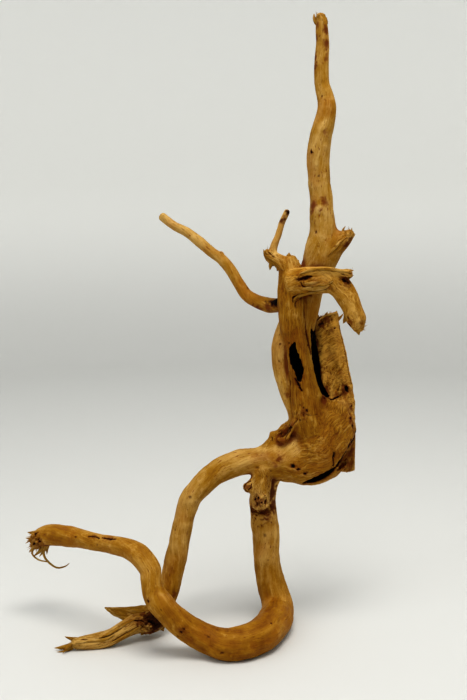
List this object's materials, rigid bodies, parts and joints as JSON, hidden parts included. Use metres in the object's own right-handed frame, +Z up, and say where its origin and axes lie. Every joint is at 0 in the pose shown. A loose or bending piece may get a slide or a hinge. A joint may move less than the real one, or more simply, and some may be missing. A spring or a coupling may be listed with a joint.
{
  "type": "driftwood root",
  "caption": "Weathered reddish-tan root standing on its legs: tall tapering upright, hollow trunk and burl, curled arm, open loop leg and frayed, torn ends.",
  "frame": {"origin": "middle of the footprint box, on the floor the root stands on", "axes": "+Z up along the upright, -Y towards the front, where the trunk hole and the curled arm face, +X towards the burl side"},
  "size_m": [0.303, 0.1246, 0.519],
  "materials": {
    "weathered_wood": "dry, weathered, matt to satin, with dark pits and cracks"
  },
  "bodies": {
    "root": {"moor_wood_root": "weathered_wood"}
  },
  "joints": []
}
